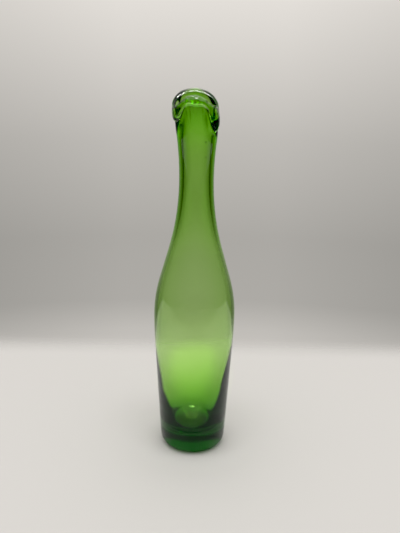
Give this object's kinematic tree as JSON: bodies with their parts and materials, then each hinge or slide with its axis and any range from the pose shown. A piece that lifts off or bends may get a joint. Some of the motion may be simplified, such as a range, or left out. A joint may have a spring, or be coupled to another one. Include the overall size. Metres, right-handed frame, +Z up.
{
  "type": "glass bud vase",
  "caption": "Slim blown green glass bud vase with a heavy solid base, a tapered body, a long neck and a lip folded outwards and down.",
  "frame": {"origin": "centre of the foot's underside, on the surface that the vase stands on", "axes": "+Z up the vase's axis to the lip; -Y is the front, where the folded lip's drop is short"},
  "size_m": [0.055, 0.055, 0.25],
  "materials": {
    "green_glass": "clear, fire-polished transparent green glass"
  },
  "bodies": {
    "root": {"solid_base": "green_glass", "body_wall": "green_glass", "shoulder_wall": "green_glass", "neck_wall": "green_glass", "folded_lip": "green_glass"}
  },
  "joints": []
}
